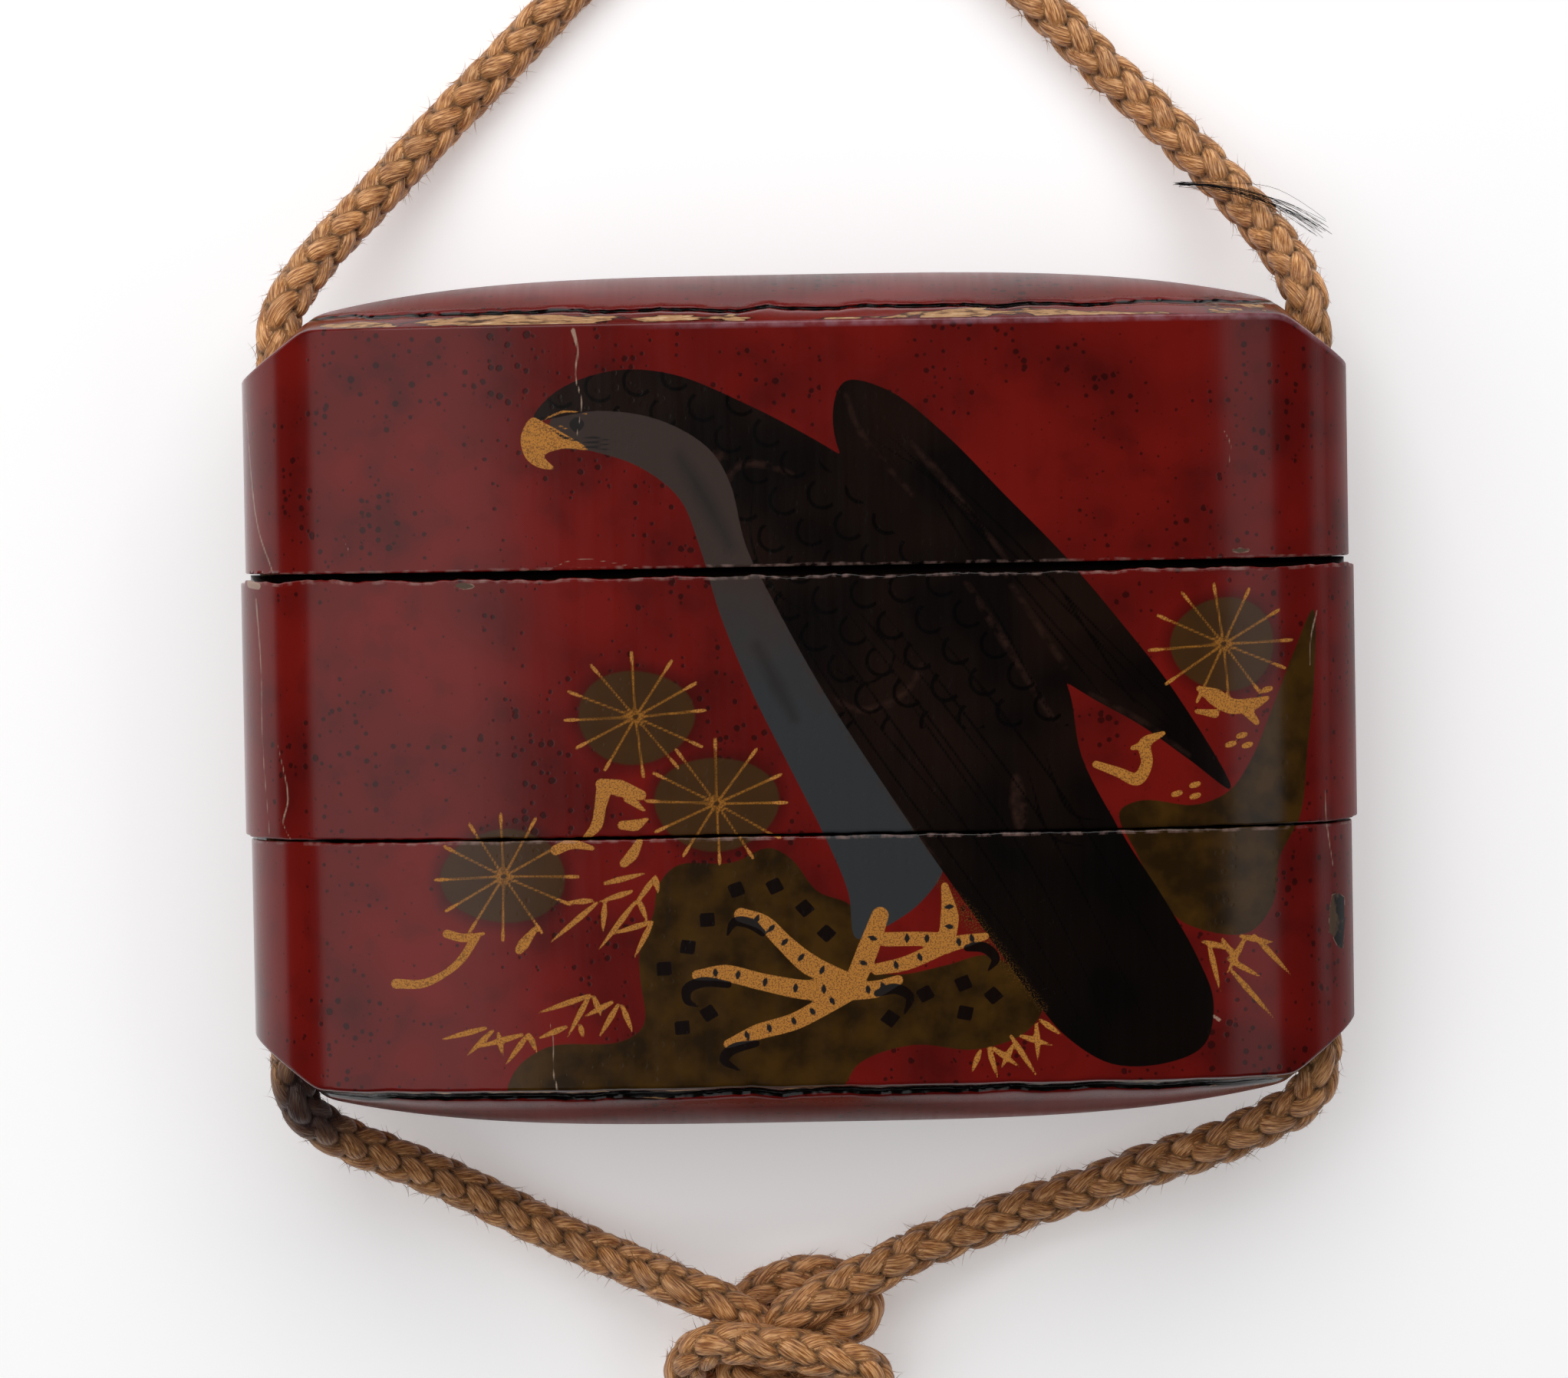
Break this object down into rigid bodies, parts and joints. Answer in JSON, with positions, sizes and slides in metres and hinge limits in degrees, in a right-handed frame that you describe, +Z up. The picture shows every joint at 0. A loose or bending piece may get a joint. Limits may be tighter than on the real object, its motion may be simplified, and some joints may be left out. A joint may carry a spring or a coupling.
{
  "type": "inro case",
  "caption": "Lacquered inro, a flat stacking pocket case with lid, lying on its back with its knotted silk cord.",
  "frame": {"origin": "under the middle of the case, on the surface its flat back lies on, the cord left out", "axes": "+X across the case to the right of the front panel, +Y towards the lid, +Z up out of the front panel"},
  "size_m": [0.0804, 0.1632, 0.0219],
  "materials": {
    "lacquered_wood": "worn red lacquer with a dark and gold picture, over thin wood",
    "silk_cord": "round braid of gold-brown silk"
  },
  "bodies": {
    "root": {"lid": "lacquered_wood", "upper_case": "lacquered_wood", "lower_case": "lacquered_wood", "cord_left": "silk_cord", "cord_right": "silk_cord", "cord_knot": "silk_cord", "cord_coil": "silk_cord", "cord_end_knot": "silk_cord"}
  },
  "joints": []
}
